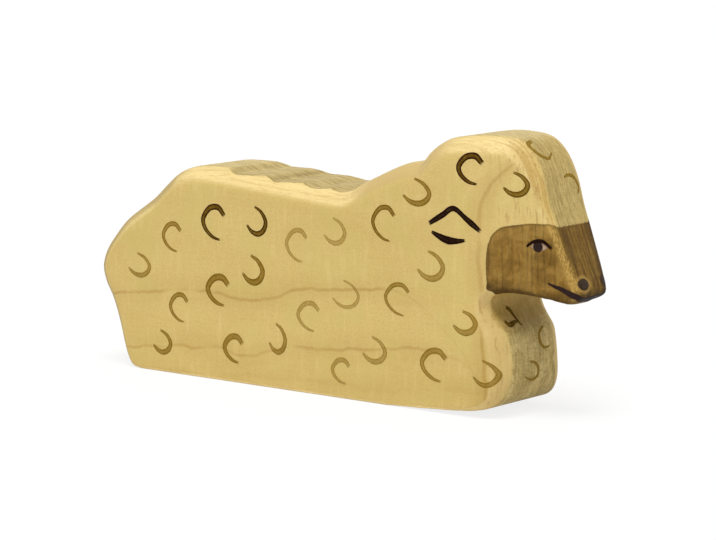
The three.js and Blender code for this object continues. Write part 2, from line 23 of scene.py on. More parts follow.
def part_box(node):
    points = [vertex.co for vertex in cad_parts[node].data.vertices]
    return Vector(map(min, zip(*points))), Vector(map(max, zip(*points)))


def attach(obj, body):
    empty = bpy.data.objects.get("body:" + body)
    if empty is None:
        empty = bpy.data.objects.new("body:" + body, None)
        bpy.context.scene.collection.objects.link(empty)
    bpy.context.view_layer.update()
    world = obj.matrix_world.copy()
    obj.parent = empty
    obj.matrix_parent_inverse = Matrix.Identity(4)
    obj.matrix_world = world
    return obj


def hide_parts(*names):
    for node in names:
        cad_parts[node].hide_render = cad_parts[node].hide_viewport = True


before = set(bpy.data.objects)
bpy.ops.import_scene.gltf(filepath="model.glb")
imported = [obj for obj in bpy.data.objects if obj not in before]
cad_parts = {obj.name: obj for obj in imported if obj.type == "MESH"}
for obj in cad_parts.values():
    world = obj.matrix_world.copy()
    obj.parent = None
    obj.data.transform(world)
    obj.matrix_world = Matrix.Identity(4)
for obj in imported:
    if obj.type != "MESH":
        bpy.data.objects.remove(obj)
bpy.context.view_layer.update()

LOG = logging.getLogger("sheep")
MM = 0.001
BODY = "root"
BEYOND = 0.01  # a stroke is asked for its round tips this far past its ends

Plane = tuple[float, float]
Line = tuple[Plane, ...]
Colour = tuple[float, float, float, float]
Rules = dict[str, Callable[[MeshVertex], float]]


def colour(red: float, green: float, blue: float) -> Colour:
    """Turns a colour as a screen shows it into the linear one that a shader takes.

    Args:
        red: The red channel, 0 to 255, as the two others.
        green: The green channel.
        blue: The blue channel.

    Returns:
        The linear colour, opaque.
    """
    shares = [level / 255 for level in (red, green, blue)]
    linear = [s / 12.92 if s <= 0.04045 else ((s + 0.055) / 1.055) ** 2.4 for s in shares]
    return linear[0], linear[1], linear[2], 1.0


class Field:
    """A number that varies over a surface: a shader socket that takes part in expressions."""

    def __init__(self, graph: Graph, socket: NodeSocket) -> None:
        """Keeps the socket and the graph that it belongs to."""
        self.graph = graph
        self.socket = socket

    def _maths(self, operation: str, first: Field | float, second: Field | float) -> Field:
        """Adds one Math node for an operation on two values."""
        node = self.graph.node("ShaderNodeMath", {"operation": operation}, {0: first, 1: second})
        return Field(self.graph, node.outputs[0])

    def __add__(self, other: Field | float) -> Field:
        """Sum."""
        return self._maths("ADD", self, other)

    __radd__ = __add__

    def __sub__(self, other: Field | float) -> Field:
        """Difference."""
        return self._maths("SUBTRACT", self, other)

    def __rsub__(self, other: Field | float) -> Field:
        """Difference, the other way round."""
        return self._maths("SUBTRACT", other, self)

    def __mul__(self, other: Field | float) -> Field:
        """Product."""
        return self._maths("MULTIPLY", self, other)

    __rmul__ = __mul__

    def __abs__(self) -> Field:
        """Size without its sign."""
        return self._maths("ABSOLUTE", self, 0.0)

    def __or__(self, other: Field | float) -> Field:
        """The larger of two."""
        return self._maths("MAXIMUM", self, other)

    def rises(self, low: float, high: float) -> Field:
        """Goes smoothly from 0 at one value to 1 at another.

        Args:
            low: The value at which the result is 0.
            high: The value at which the result is 1.

        Returns:
            The eased share between the two.
        """
        settings = {"interpolation_type": "SMOOTHSTEP"}
        inputs = {"Value": self, "From Min": low, "From Max": high}
        return Field(self.graph, self.graph.node("ShaderNodeMapRange", settings, inputs).outputs[0])

    def falls(self, low: float, high: float) -> Field:
        """Goes smoothly from 1 at one value to 0 at another."""
        return 1 - self.rises(low, high)


class Graph:
    """The node tree of one finish."""

    def __init__(self, name: str) -> None:
        """Starts an empty material.

        Args:
            name: The material's name.
        """
        self.material = bpy.data.materials.new(name)
        self.material.use_nodes = True
        self.tree = self.material.node_tree
        self.tree.nodes.clear()

    def node(self, kind: str, settings: dict | None = None, inputs: dict | None = None) -> Node:
        """Adds a node.

        Args:
            kind: The node's type.
            settings: Its properties, set before its sockets.
            inputs: Values or links of its sockets, by name or number.

        Returns:
            The new node.
        """
        made = self.tree.nodes.new(kind)
        for name, value in (settings or {}).items():
            setattr(made, name, value)
        for name, value in (inputs or {}).items():
            if isinstance(value, Field):
                value = value.socket
            if isinstance(value, NodeSocket):
                self.tree.links.new(value, made.inputs[name])
            else:
                made.inputs[name].default_value = value
        return made

    def place(self, stretch: Sequence[float]) -> NodeSocket:
        """Object coordinates, in millimetres times a stretch along each axis."""
        here = self.node("ShaderNodeTexCoord").outputs["Object"]
        by = tuple(share / MM for share in stretch)
        return self.node("ShaderNodeVectorMath", {"operation": "MULTIPLY"}, {0: here, 1: by}).outputs[0]

    def axes(self) -> list[Field]:
        """Object coordinates in millimetres, one by one."""
        split = self.node("ShaderNodeSeparateXYZ", None, {0: self.place((1, 1, 1))})
        return [Field(self, out) for out in split.outputs]

    def noise(self, stretch: Sequence[float], detail: float = 2, warp: float = 0) -> Field:
        """Noise with so many features to a millimetre along each axis, 0 to 1 around 0.5."""
        inputs = {"Vector": self.place(stretch), "Scale": 1, "Detail": detail, "Distortion": warp}
        return Field(self, self.node("ShaderNodeTexNoise", None, inputs).outputs[0])

    def attribute(self, name: str) -> Field:
        """A number that the mesh carries on its points."""
        return Field(self, self.node("ShaderNodeAttribute", {"attribute_name": name}).outputs["Fac"])

    def across(self) -> tuple[Field, Field]:
        """A stroke's own coordinates: 0 to 1 along it, and -1 to 1 across it."""
        split = self.node("ShaderNodeSeparateXYZ", None, {0: self.node("ShaderNodeUVMap").outputs[0]})
        return Field(self, split.outputs[0]), Field(self, split.outputs[1]) * 2 - 1

    def layers(self, base: Colour | NodeSocket, *coats: tuple[Field, Colour | NodeSocket]) -> NodeSocket:
        """Lays coats of colour over each other.

        Args:
            base: The colour underneath.
            coats: How much there is of each coat, and its colour, from the lowest up.

        Returns:
            The socket of the mixed colour.
        """
        for share, tint in coats:
            base = self.node("ShaderNodeMix", {"data_type": "RGBA"}, {0: share, 6: base, 7: tint}).outputs[2]
        return base

    def bump(self, height: Field, depth: float) -> NodeSocket:
        """Turns a height from 0 to 1 into a normal, for a relief so many millimetres deep."""
        return self.node("ShaderNodeBump", None, {"Height": height, "Distance": depth * MM}).outputs[0]

    def surface(self, inputs: dict) -> Material:
        """Ends the graph in a surface.

        Args:
            inputs: Values or links of the Principled shader's sockets.

        Returns:
            The finished material.
        """
        shader = self.node("ShaderNodeBsdfPrincipled", None, inputs)
        output = self.node("ShaderNodeOutputMaterial")
        self.tree.links.new(shader.outputs[0], output.inputs[0])
        return self.material


@dataclass(frozen=True)
class GrowthLine:
    """One faint brown line of the board's growth, seen on its flanks. Sizes are millimetres."""

    height: float  # at the middle of the board's length
    rise: float  # how far up for each millimetre along
    dip_at: float
    dip_depth: float
    dip_width: float
    width: float
    strength: float
    bend_at: float = 80  # from here on it curves down and fades
    bend: float = 0.026
    wander: float = 2.4
    haze: float = 0.13
    haze_width: Plane = (0.5, 4.5)

    def mask(self, graph: Graph) -> Field:
        """How much of the line there is at each place.

        Args:
            graph: The finish that it goes into.

        Returns:
            The mask.
        """
        x, _, z = graph.axes()
        bell = abs(x - self.dip_at).falls(0, 2 * self.dip_width)
        wobble = graph.noise((0.2, 0.05, 0.02), 5) - 0.5
        past = (x - self.bend_at) | 0
        middle = z - x * self.rise - self.height + bell * self.dip_depth + wobble * self.wander
        middle = abs(middle + past * past * self.bend)
        line = middle.falls(0.1 * self.width, self.width) * self.strength
        haze = middle.falls(*self.haze_width) * self.haze
        faded = 1 - past.rises(3, 14) * 0.75
        return (line | haze) * faded * graph.noise((0.09, 0.09, 0.3), 2).rises(0.2, 0.6)


@dataclass(frozen=True)
class NeckLine:
    """A faint growth line that climbs the neck and bends ahead over the crown. Sizes are millimetres."""

    foot: float = 42.4  # how far along it stands, over most of its height
    lean_below: float = 33
    lean: float = 0.1
    bend_at: float = 42
    bend: float = 0.06
    wander: float = 2
    width: Plane = (0.1, 1.1)
    strength: float = 0.6
    haze: float = 0.26
    haze_width: Plane = (0.6, 4.5)

    def mask(self, graph: Graph) -> Field:
        """How much of the line there is at each place.

        Args:
            graph: The finish that it goes into.

        Returns:
            The mask.
        """
        x, _, z = graph.axes()
        wobble = graph.noise((0.05, 0.05, 0.2), 4) - 0.5
        past = (z - self.bend_at) | 0
        below = (self.lean_below - z) | 0
        middle = abs(x - self.foot - past * past * self.bend - below * self.lean + wobble * self.wander)
        line = middle.falls(*self.width) * self.strength
        haze = middle.falls(*self.haze_width) * self.haze
        return (line | haze) * graph.noise((0.1, 0.1, 0.12), 2).rises(0.15, 0.55)


@dataclass(frozen=True)
class Maple:
    """Pale maple: smooth flanks with faint figure, a paler sanded band with painted highlight, open grain
    where the saw cut, painted shade on some rolls and under the jaw.
    """

    flank: Colour = colour(214, 188, 116)
    deep: Colour = colour(198, 168, 94)
    band: Colour = colour(238, 213, 148)
    sawn: Colour = colour(215, 193, 131)
    end: Colour = colour(190, 166, 101)
    # open pores, and painted shade in the folds
    pore_and_shade: Colour = colour(126, 103, 42)
    # painted shade under the jaw, in a brown like the stain
    jaw_shade: Colour = colour(156, 116, 12)
    vessel: Colour = colour(158, 112, 58)
    line: Colour = colour(168, 127, 52)
    green: Colour = colour(204, 186, 108)
    # painted shade: the nape's slope and the chest's roll, darker where they turn from the light
    nape_shade: Colour = colour(200, 173, 112)
    # painted shade on the rump's roll, which turns away from the light
    shade: Colour = colour(160, 140, 88)
    roughness: float = 0.62
    lines: tuple[GrowthLine | NeckLine, ...] = (
        GrowthLine(23.1, 0.105, -17, 2.4, 8, 0.7, 0.54, 16, 0.026),
        GrowthLine(10.2, 0.1, -19, 1.9, 5, 0.7, 0.5, 27, 0.02),
        GrowthLine(3.2, 0.06, 20, 1.2, 9, 1.5, 0.2),
        NeckLine(),
    )
    chest_top: Plane = (21, 26)  # the heights, in millimetres, over which the chest's mottling ends

    def _flank(self, graph: Graph, sawn: Field, speckle: Field) -> NodeSocket:
        """The smooth flank: clouds, fibre, flecks, green patches, rays and growth lines.

        Args:
            graph: The finish that it goes into.
            sawn: Where the saw cut.
            speckle: Fine noise that all the faces share.

        Returns:
            The socket of the flank's colour.
        """
        cloud = graph.noise((0.03, 0.08, 0.09), 3).rises(0.3, 0.75)
        fibre = graph.noise((0.16, 2.2, 3.4), 5, 0.4).rises(0.45, 0.75)
        fleck = graph.noise((1.1, 3.0, 0.35), 3).rises(0.55, 0.8)
        patch = graph.noise((0.09, 0.1, 0.12), 2).rises(0.42, 0.62)
        ray = graph.noise((0.9, 0.3, 0.16), 3).rises(0.5, 0.75)
        return graph.layers(
            self.flank,
            (cloud * 0.42 + fibre * 0.22, self.deep),
            (fleck * 0.12, self.band),
            (speckle.rises(0.4, 0.68) * 0.2, self.line),
            (patch * 0.3, self.green),
            (ray * 0.16, self.band),
            *[(line.mask(graph) * (1 - sawn), self.line) for line in self.lines],
        )

    def _sanded_band_and_highlight(
        self, graph: Graph, across: Field, brow: Field, speckle: Field, ring: Field
    ) -> NodeSocket:
        """The paler band where the sanding rolled the edges over, paler also as painted highlight, with
        painted shade on the nape and the rump.

        Args:
            graph: The finish that it goes into.
            across: Where the face lies across the grain.
            brow: Where the brow is.
            speckle: Fine noise that all the faces share.
            ring: The board's growth rings.

        Returns:
            The socket of the band's colour.
        """
        hair = graph.noise((0.22, 3.0, 3.0), 4, 0.8).rises(0.5, 0.66)
        return graph.layers(
            self.band,
            (across * 0.75, self.deep),
            (speckle.rises(0.5, 0.72) * 0.28, self.deep),
            (ring.rises(0.48, 0.6) * (brow * 0.3 + 0.22), self.line),
            (hair * 0.3, self.line),
            # painted shade on the nape's slope and on the chest's roll
            (graph.attribute("nape_shade"), self.nape_shade),
            # painted shade on the rump's roll
            (graph.attribute("rump_shade") * 0.8, self.shade),
        )

    def _saw_cut(self, graph: Graph, across: Field, folds: Field, speckle: Field, ring: Field) -> NodeSocket:
        """The open grain of the sawn faces, darkest in the folds and mottled on the chest, with painted shade
        in the folds and under the jaw.

        Args:
            graph: The finish that it goes into.
            across: Where the face lies across the grain.
            folds: Where the wool folds are.
            speckle: Fine noise that all the faces share.
            ring: The board's growth rings.

        Returns:
            The socket of the sawn faces' colour.
        """
        _, _, height = graph.axes()
        chest = across * height.falls(*self.chest_top)
        dash = graph.noise((0.4, 2.4, 0.55), 5, 0.3).rises(0.42, 0.64)
        ripple = graph.noise((0.3, 0.5, 1.7), 3, 1.4).rises(0.5, 0.62)
        mottle = graph.noise((0.2, 0.3, 0.25), 3, 0.5)
        return graph.layers(
            self.sawn,
            (across | folds * 0.55, self.end),
            # the folds' drop faces: darker end grain and painted shade
            (folds * (across.rises(0.02, 0.35) * 0.42 + 0.05), self.pore_and_shade),
            (dash * 0.42, self.pore_and_shade),
            (speckle.rises(0.5, 0.68) * 0.4, self.pore_and_shade),
            (ring.rises(0.46, 0.6) * 0.3, self.pore_and_shade),
            (folds * ring.rises(0.5, 0.62) * 0.4, self.pore_and_shade),
            (mottle.falls(0.35, 0.55) * chest * 0.2, self.band),
            (mottle.rises(0.48, 0.66) * chest * 0.2, self.pore_and_shade),
            (ripple * chest * 0.4, self.pore_and_shade),
            # painted shade under the jaw
            (graph.attribute("under_jaw") * 0.55, self.jaw_shade),
        )

    def colours(self, graph: Graph) -> NodeSocket:
        """Mixes the colour of the bare wood.

        Args:
            graph: The finish that it goes into.

        Returns:
            The socket of the wood's colour.
        """
        sawn, rolled, across, brow, folds = (
            graph.attribute(name) for name in ("sawn", "rolled", "across_grain", "brow", "folds")
        )
        speckle = graph.noise((2.6, 2.6, 2.6), 4)
        ring = graph.noise((0.05, 1.5, 0.05), 3, 0.2)
        vessel = graph.noise((1.7, 1.7, 0.32), 4, 0.2).rises(0.53, 0.66)
        # painted shadow along the ragged edges where the folds' sawn tops meet the flank
        rim = sawn.rises(0.0, 0.35) * sawn.falls(0.5, 1.0) * folds
        return graph.layers(
            self._flank(graph, sawn, speckle),
            # the rolled band: paler sanded wood, and painted highlight where the edges roll towards the light
            (rolled * 0.85, self._sanded_band_and_highlight(graph, across, brow, speckle, ring)),
            (vessel * (across * 0.45 | brow * 0.42), self.vessel),
            (sawn, self._saw_cut(graph, across, folds, speckle, ring)),
            # painted shadow at the folds' edges
            (rim * 0.7, self.pore_and_shade),
        )

    def relief(self, graph: Graph) -> NodeSocket:
        """Sanding marks on the flanks and open grain on the sawn faces.

        Args:
            graph: The finish that it goes into.

        Returns:
            The socket of the normal.
        """
        fine = graph.noise((0.6, 5, 5), 4)
        rough = graph.noise((2.2, 3.4, 2.2), 5)
        sawn = graph.attribute("sawn")
        height = fine * (1 - sawn) * 0.35 + rough * (sawn * 0.9 + graph.attribute("rolled") * 0.5)
        return graph.bump(height, 0.09)

    def material(self) -> Material:
        """The finish of the bare wood."""
        graph = Graph("pale_maple")
        return graph.surface(
            {
                "Base Color": self.colours(graph),
                "Roughness": self.roughness,
                "Specular IOR Level": 0.32,
                "Normal": self.relief(graph),
            }
        )


@dataclass(frozen=True)
class FaceStain:
    """Brown stain over the muzzle, thin enough that the grain and the brush show through."""

    side: Colour = colour(139, 103, 38)
    front: Colour = colour(122, 90, 30)
    dark: Colour = colour(54, 32, 0)
    light: Colour = colour(192, 156, 82)
    cover: float = 0.96
    temple: Plane = (35.5, 41)  # the heights, in millimetres, over which the cheek turns paler

    def _tint(self, graph: Graph, inset: Field, streak: Field) -> NodeSocket:
        """Mixes the stain's colour, with painted highlight on its ridge and painted shade on its far roll and
        underside.

        Args:
            graph: The finish that it goes into.
            inset: How far a place lies inside the stain's outline, in millimetres.
            streak: The brush's streaks.

        Returns:
            The socket of the colour.
        """
        front = graph.attribute("front")
        side = 1 - front
        _, _, height = graph.axes()
        speckle = graph.noise((1.9, 1.9, 1.2), 4)
        side_hair = graph.noise((1.9, 0.2, 0.1), 4, 0.4).rises(0.5, 0.66)
        front_hair = graph.noise((0.05, 1.5, 0.1), 4, 0.5).rises(0.44, 0.62)
        front_band = graph.noise((0.05, 0.7, 0.07), 2, 0.4).rises(0.45, 0.6)
        blotch = graph.noise((0.24, 0.2, 0.32), 3, 0.8)
        grit = graph.noise((3.2, 3.2, 1.5), 4).rises(0.44, 0.57)
        cloud = graph.noise((0.28, 0.2, 0.5), 3, 0.5) - 0.5
        jowl = (graph.attribute("jowl") + cloud * 2.2).rises(0.35, 0.8)
        rim = inset.falls(0.15, 0.7) * (1 - front * 0.7)
        return graph.layers(
            self.side,
            (front, self.front),
            (height.rises(*self.temple) * side * 0.3, self.light),
            (streak.rises(0.42, 0.7) * 0.22, self.light),
            (speckle.rises(0.45, 0.7) * 0.18, self.light),
            (speckle.falls(0.3, 0.5) * 0.16, self.dark),
            (side_hair * side * 0.36, self.dark),
            (front_band * front * 0.34, self.dark),
            (front_hair * front * 0.5, self.dark),
            (blotch.rises(0.46, 0.64) * side * 0.28, self.dark),
            (blotch.falls(0.34, 0.5) * side * 0.2, self.light),
            # painted highlight on the muzzle's rolled ridge, over its sanded grit
            (graph.attribute("rolled") * (0.3 + grit * 0.7), self.light),
            (rim * 0.45, self.dark),
            (jowl * 0.14, self.dark),
            (graph.attribute("corner") * 0.75, self.dark),
            # painted shade on the far roll and on faces turned down
            (graph.attribute("far") * 0.7, self.dark),
            (graph.attribute("below") * 0.65, self.dark),
            (graph.attribute("halo") * 0.5, self.light),
        )

    def material(self) -> Material:
        """The finish of the stained skin."""
        graph = Graph("brown_face_stain")
        inset = graph.attribute("inset")
        streak = graph.noise((0.55, 0.2, 0.05), 4, 0.6)
        ragged = inset + (graph.noise((1.5, 1.5, 1.5), 2) * 0.3 - 0.15)
        return graph.surface(
            {
                "Base Color": self._tint(graph, inset, streak),
                "Roughness": 0.6,
                "Specular IOR Level": 0.15,
                "Alpha": ragged.rises(-0.02, 0.22) * (streak.rises(0.2, 0.8) * -0.14 + self.cover),
                "Normal": graph.bump(graph.noise((2.0, 2.0, 0.3), 4), 0.06),
            }
        )


@dataclass(frozen=True)
class BrushPaint:
    """Thin brown paint from a round brush: wet rims, a drier middle and a tail that runs out."""

    name: str
    thin: Colour
    middle: Colour
    full: Colour
    tail: float = 0.12

    def material(self) -> Material:
        """The finish of the strokes."""
        graph = Graph(self.name)
        along, aside = graph.across()
        load = graph.attribute("load")
        edge = abs(aside)
        bristle = graph.noise((2.2, 2.2, 2.2), 3)
        wet = edge.rises(0.25, 0.8) * edge.falls(0.93, 1.02)
        inside = (edge + (bristle - 0.5) * 0.2).falls(0.88, 1.06)
        ends = along.rises(0.0, 0.025) * along.falls(0.96, 1.0)
        dry = 1 - bristle.rises(0.4, 0.75) * self.tail
        flow = graph.noise((0.55, 0.55, 0.55), 3, 0.6).rises(0.3, 0.7)
        tint = graph.layers(
            self.thin,
            (load.rises(0, 0.6), self.middle),
            (load * (0.74 + wet * 0.32 + flow * 0.14), self.full),
        )
        cover = inside * ends * dry * graph.attribute("cover")
        return graph.surface(
            {
                "Base Color": tint,
                "Roughness": 0.7,
                "Specular IOR Level": 0.06,
                "Alpha": cover * (0.8 + wet * 0.32 + flow * 0.12),
                "Normal": graph.bump(graph.noise((3.0, 3.0, 3.0), 3), 0.03),
            }
        )


@dataclass(frozen=True)
class DabPaint:
    """Paint put on in one dab, with a soft rim."""

    name: str
    tint: Colour
    shade: Colour
    cover: float
    softness: float

    def material(self) -> Material:
        """The finish of the dab."""
        graph = Graph(self.name)
        cloud = graph.noise((1.8, 1.8, 1.8), 3)
        reach = graph.attribute("reach") + (cloud - 0.5) * 0.12
        return graph.surface(
            {
                "Base Color": graph.layers(self.tint, (cloud.rises(0.4, 0.7) * 0.5, self.shade)),
                "Roughness": 0.55,
                "Specular IOR Level": 0.2,
                "Alpha": reach.falls(1 - self.softness, 1.0) * self.cover,
            }
        )


def eased(value: float, low: float, high: float) -> float:
    """Goes smoothly from 0 at one value to 1 at another; it falls where the first is the larger."""
    share = min(max((value - low) / (high - low), 0), 1)
    return share * share * (3 - 2 * share)


def placed(name: str, data: bpy.types.ID) -> Object:
    """Makes an object and links it to the scene.

    Args:
        name: Its name.
        data: Its mesh, lamp or camera.

    Returns:
        The new object.
    """
    made = bpy.data.objects.new(name, data)
    bpy.context.scene.collection.objects.link(made)
    return made


def finished(name: str, mesh: Mesh, material: Material, slot: str, *nodes: str) -> Object:
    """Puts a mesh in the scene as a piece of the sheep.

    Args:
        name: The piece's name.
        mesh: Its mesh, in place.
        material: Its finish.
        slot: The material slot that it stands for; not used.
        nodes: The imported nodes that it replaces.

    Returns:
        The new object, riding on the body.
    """
    piece = placed(name, mesh)
    mesh.materials.clear()
    mesh.materials.append(material)
    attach(piece, BODY)
    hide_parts(*nodes)
    return piece


def write_fields(mesh: Mesh, rules: Rules) -> None:
    """Writes numbers on the points of a mesh.

    Args:
        mesh: The mesh.
        rules: How each number is worked out from a point, by the name that a finish reads it under.
    """
    for name, rule in rules.items():
        numbers = [rule(vertex) for vertex in mesh.vertices]
        target = mesh.attributes.get(name) or mesh.attributes.new(name, "FLOAT", "POINT")
        target.data.foreach_set("value", numbers)


def laid(
    film: BMesh, name: str, node: str, material: Material, slot: str, depth: float, rules: Rules
) -> Object:
    """Makes a piece of an open film that lies just off the wood, and lets it soak in.

    Args:
        film: The film.
        name: The piece's name.
        node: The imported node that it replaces.
        material: Its finish.
        slot: The material slot that it stands for.
        depth: How far it soaks in, in millimetres.
        rules: The numbers that its finish reads.

    Returns:
        The finished piece.
    """
    mesh = bpy.data.meshes.new(name)
    film.to_mesh(mesh)
    film.free()
    mesh.shade_smooth()
    write_fields(mesh, rules)
    piece = finished(name, mesh, material, slot, node)
    soak = piece.modifiers.new("soaked_in", "SOLIDIFY")
    soak.thickness = depth * MM
    soak.offset = -1
    soak.use_even_offset = False
    return piece


class Facing(Enum):
    """The way from which a mark was painted: towards the painter, and the two axes that it is drawn in."""

    RIGHT = (Vector((0, -1, 0)), 0, 2)
    LEFT = (Vector((0, 1, 0)), 0, 2)
    FRONT = (Vector((1, 0, 0)), 1, 2)

    def point(self, aside: float, height: float) -> Vector:
        """The point in space of a place in the mark's plane.

        Args:
            aside: The place along the first axis.
            height: The place along the second axis.

        Returns:
            The point.
        """
        _, across, up = self.value
        point = Vector((0, 0, 0))
        point[across] = aside
        point[up] = height
        return point

    def turn(self, film: BMesh, faces: Sequence[bmesh.types.BMFace]) -> None:
        """Turns faces towards the painter.

        Args:
            film: The film that they belong to.
            faces: The faces.
        """
        film.normal_update()
        if sum(face.normal.dot(self.value[0]) for face in faces) < 0:
            bmesh.ops.reverse_faces(film, faces=faces)


@dataclass(frozen=True)
class Zone:
    """A part of the wood's skin, bounded along x and along z by ramps in millimetres.

    A ramp goes from 0 at its first value to 1 at its second; one that falls has its larger value first.
    """

    x: Line = ()
    z: Line = ()

    def share(self, place: Vector) -> float:
        """How far a place lies in the zone, 0 to 1."""
        ramps = [(place.x, ramp) for ramp in self.x] + [(place.z, ramp) for ramp in self.z]
        return math.prod(eased(value / MM, *ramp) for value, ramp in ramps)


@dataclass
class WoodenBody:
    """The sawn and sanded board."""

    node: str = "wooden_body"
    grain: float = 0.46 * MM  # spacing of the remodelled skin
    passes: int = 4  # how often the skin is smoothed
    merge: float = 0.002 * MM
    chin_passes: int = 72
    chin_passes_right: int = 16
    chin_reach: Plane = (7.5, 5.0)  # millimetres back from the nose, for the first pass and the last
    chin_below: Plane = (10.5, 12.5)  # millimetres below the stain's top edge, the same way
    brow: Zone = Zone(((43, 50),), ((34, 42),))
    # painted shade on the rump's roll, as far as it faces back
    rump_shade: Zone = Zone(((-26, -44),))
    # painted shade on the nape's slope; the chest's roll takes part of it too
    nape_shade: Zone = Zone(((8, 14), (38, 30)), ((38, 42),))
    chest_roll: Zone = Zone(((30, 40),), ((32, 26),))
    folds: Zone = Zone(((-32, -16), (14, 6)), ((41, 43),))
    piece: Object | None = None
    tree: BVHTree | None = None

    def build(self) -> Object:
        """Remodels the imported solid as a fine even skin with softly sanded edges.

        Returns:
            The finished piece, dressed in maple.
        """
        skin = bmesh.new()
        skin.from_mesh(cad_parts[self.node].data)
        bmesh.ops.remove_doubles(skin, verts=skin.verts, dist=self.merge)
        rough = bpy.data.meshes.new("rough_body")
        skin.to_mesh(rough)
        skin.free()
        draft = placed("rough_body", rough)
        remesh = draft.modifiers.new("even_skin", "REMESH")
        remesh.mode = "VOXEL"
        remesh.voxel_size = self.grain
        soften = draft.modifiers.new("sanding", "SMOOTH")
        soften.factor = 0.5
        soften.iterations = self.passes
        ready = draft.evaluated_get(bpy.context.evaluated_depsgraph_get())
        mesh = bpy.data.meshes.new_from_object(ready)
        bpy.data.objects.remove(draft)
        mesh.name = "sanded_wood"
        self._round_chin(mesh)
        self._measure(mesh)
        self.piece = finished("sanded_wood", mesh, Maple().material(), "maple", self.node)
        self.tree = BVHTree.FromPolygons([v.co for v in mesh.vertices], [p.vertices for p in mesh.polygons])
        return self.piece

    def _round_chin(self, mesh: Mesh) -> None:
        """Sands the muzzle's lower corners rounder, the left one most, each pass nearer to the chin.

        Args:
            mesh: The wood's skin.
        """
        skin = bmesh.new()
        skin.from_mesh(mesh)
        nose = max(vertex.co.x for vertex in skin.verts)
        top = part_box("face_stain")[1].z
        back, ahead = self.chin_reach
        high, low = self.chin_below
        near = [v for v in skin.verts if v.co.x > nose - back * MM and v.co.z < top - high * MM]
        for i in range(self.chin_passes):
            share = i / self.chin_passes
            start = nose - (back + (ahead - back) * share) * MM
            ceiling = top - (high + (low - high) * share) * MM
            both = i < self.chin_passes_right
            reached = [v for v in near if v.co.x > start and v.co.z < ceiling and (both or v.co.y > 0)]
            bmesh.ops.smooth_vert(skin, verts=reached, factor=0.6, use_axis_z=True)
        skin.to_mesh(mesh)
        skin.free()

    def _measure(self, mesh: Mesh) -> None:
        """Writes on each point how the saw and the sanding block left the wood there, and where shade is
        painted on it.

        Args:
            mesh: The wood's skin.
        """
        mesh.shade_smooth()
        low, high = (corner.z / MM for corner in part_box("throat_wool_mark"))
        # where shade is painted under the jaw, below the head
        under_jaw = Zone(((42, 43),), ((low - 2, high - 1), (high + 5, high + 3)))
        write_fields(
            mesh,
            {
                "sawn": lambda v: eased(abs(v.normal.y), 0.32, 0.16),
                "rolled": lambda v: eased(abs(v.normal.y), 0.16, 0.4) * eased(abs(v.normal.y), 0.992, 0.9),
                "across_grain": lambda v: eased(abs(v.normal.x), 0.18, 0.7),
                "brow": lambda v: self.brow.share(v.co),
                # painted shade where the rump's roll faces back, away from the light
                "rump_shade": lambda v: eased(-v.normal.x, 0.12, 0.45) * self.rump_shade.share(v.co),
                # painted shade: the nape's slope, and the chest's roll at a lesser share
                "nape_shade": lambda v: self.nape_shade.share(v.co) + 0.6 * self.chest_roll.share(v.co),
                "folds": lambda v: self.folds.share(v.co),
                "under_jaw": lambda v: under_jaw.share(v.co),
            },
        )

    def land(self, point: Vector, facing: Facing, lift: float) -> Vector:
        """Drops a point on the wood.

        Args:
            point: Where the brush is.
            facing: The side that it comes from.
            lift: How far off the wood it stays, in millimetres.

        Returns:
            The place just off the wood.
        """
        eye = facing.value[0]
        place, normal, _, _ = self.tree.ray_cast(point + eye * 0.1, -eye, 0.2)
        if place is None:
            place, normal, _, _ = self.tree.find_nearest(point)
        return place + normal * lift * MM


def spline(points: Sequence[Plane], share: float) -> Vector:
    """A point on the smooth line through some points.

    Args:
        points: The points, in a plane.
        share: How far along, 0 to 1, each stretch counting alike.

    Returns:
        The point.
    """
    at = share * (len(points) - 1)
    first = min(int(at), len(points) - 2)
    t = at - first
    p0, p1, p2, p3 = (Vector(points[min(max(first + k, 0), len(points) - 1)]) for k in (-1, 0, 1, 2))
    v1 = (p2 - p0) / 2
    v2 = (p3 - p1) / 2
    return (2 * p1 - 2 * p2 + v1 + v2) * t**3 + (3 * p2 - 3 * p1 - 2 * v1 - v2) * t**2 + v1 * t + p1


def between(values: Sequence[float], share: float) -> float:
    """Reads a row of evenly spread values.

    Args:
        values: The values.
        share: How far along the row, 0 to 1.

    Returns:
        The value there.
    """
    at = share * (len(values) - 1)
    first = min(int(at), len(values) - 2)
    return values[first] + (values[first + 1] - values[first]) * (at - first)


@dataclass(frozen=True)
class Stroke:
    """One pull of the brush: its middle line in its own plane, and the brush's width along it."""

    line: Line
    widths: tuple[float, ...]

    def spot(self, along: float, aside: float, scale: Plane, brush: float) -> Vector:
        """A point of the stroke.

        Args:
            along: 0 at its start to 1 at its end; the round tips lie beyond both.
            aside: -1 on one rim to 1 on the other.
            scale: How large the line is drawn along each axis.
            brush: The full width of the brush.

        Returns:
            The point, in the plane.
        """
        scaled = [(a * scale[0], b * scale[1]) for a, b in self.line]
        held = min(max(along, 0), 1)
        step = 0.01
        tangent = spline(scaled, min(held + step, 1)) - spline(scaled, max(held - step, 0))
        tangent.normalize()
        half = between(self.widths, held) * brush / 2
        beyond = half if along != held else 0
        ahead = 1 if along > 1 else -1
        normal = Vector((-tangent.y, tangent.x))
        return spline(scaled, held) + tangent * beyond * ahead + normal * aside * half


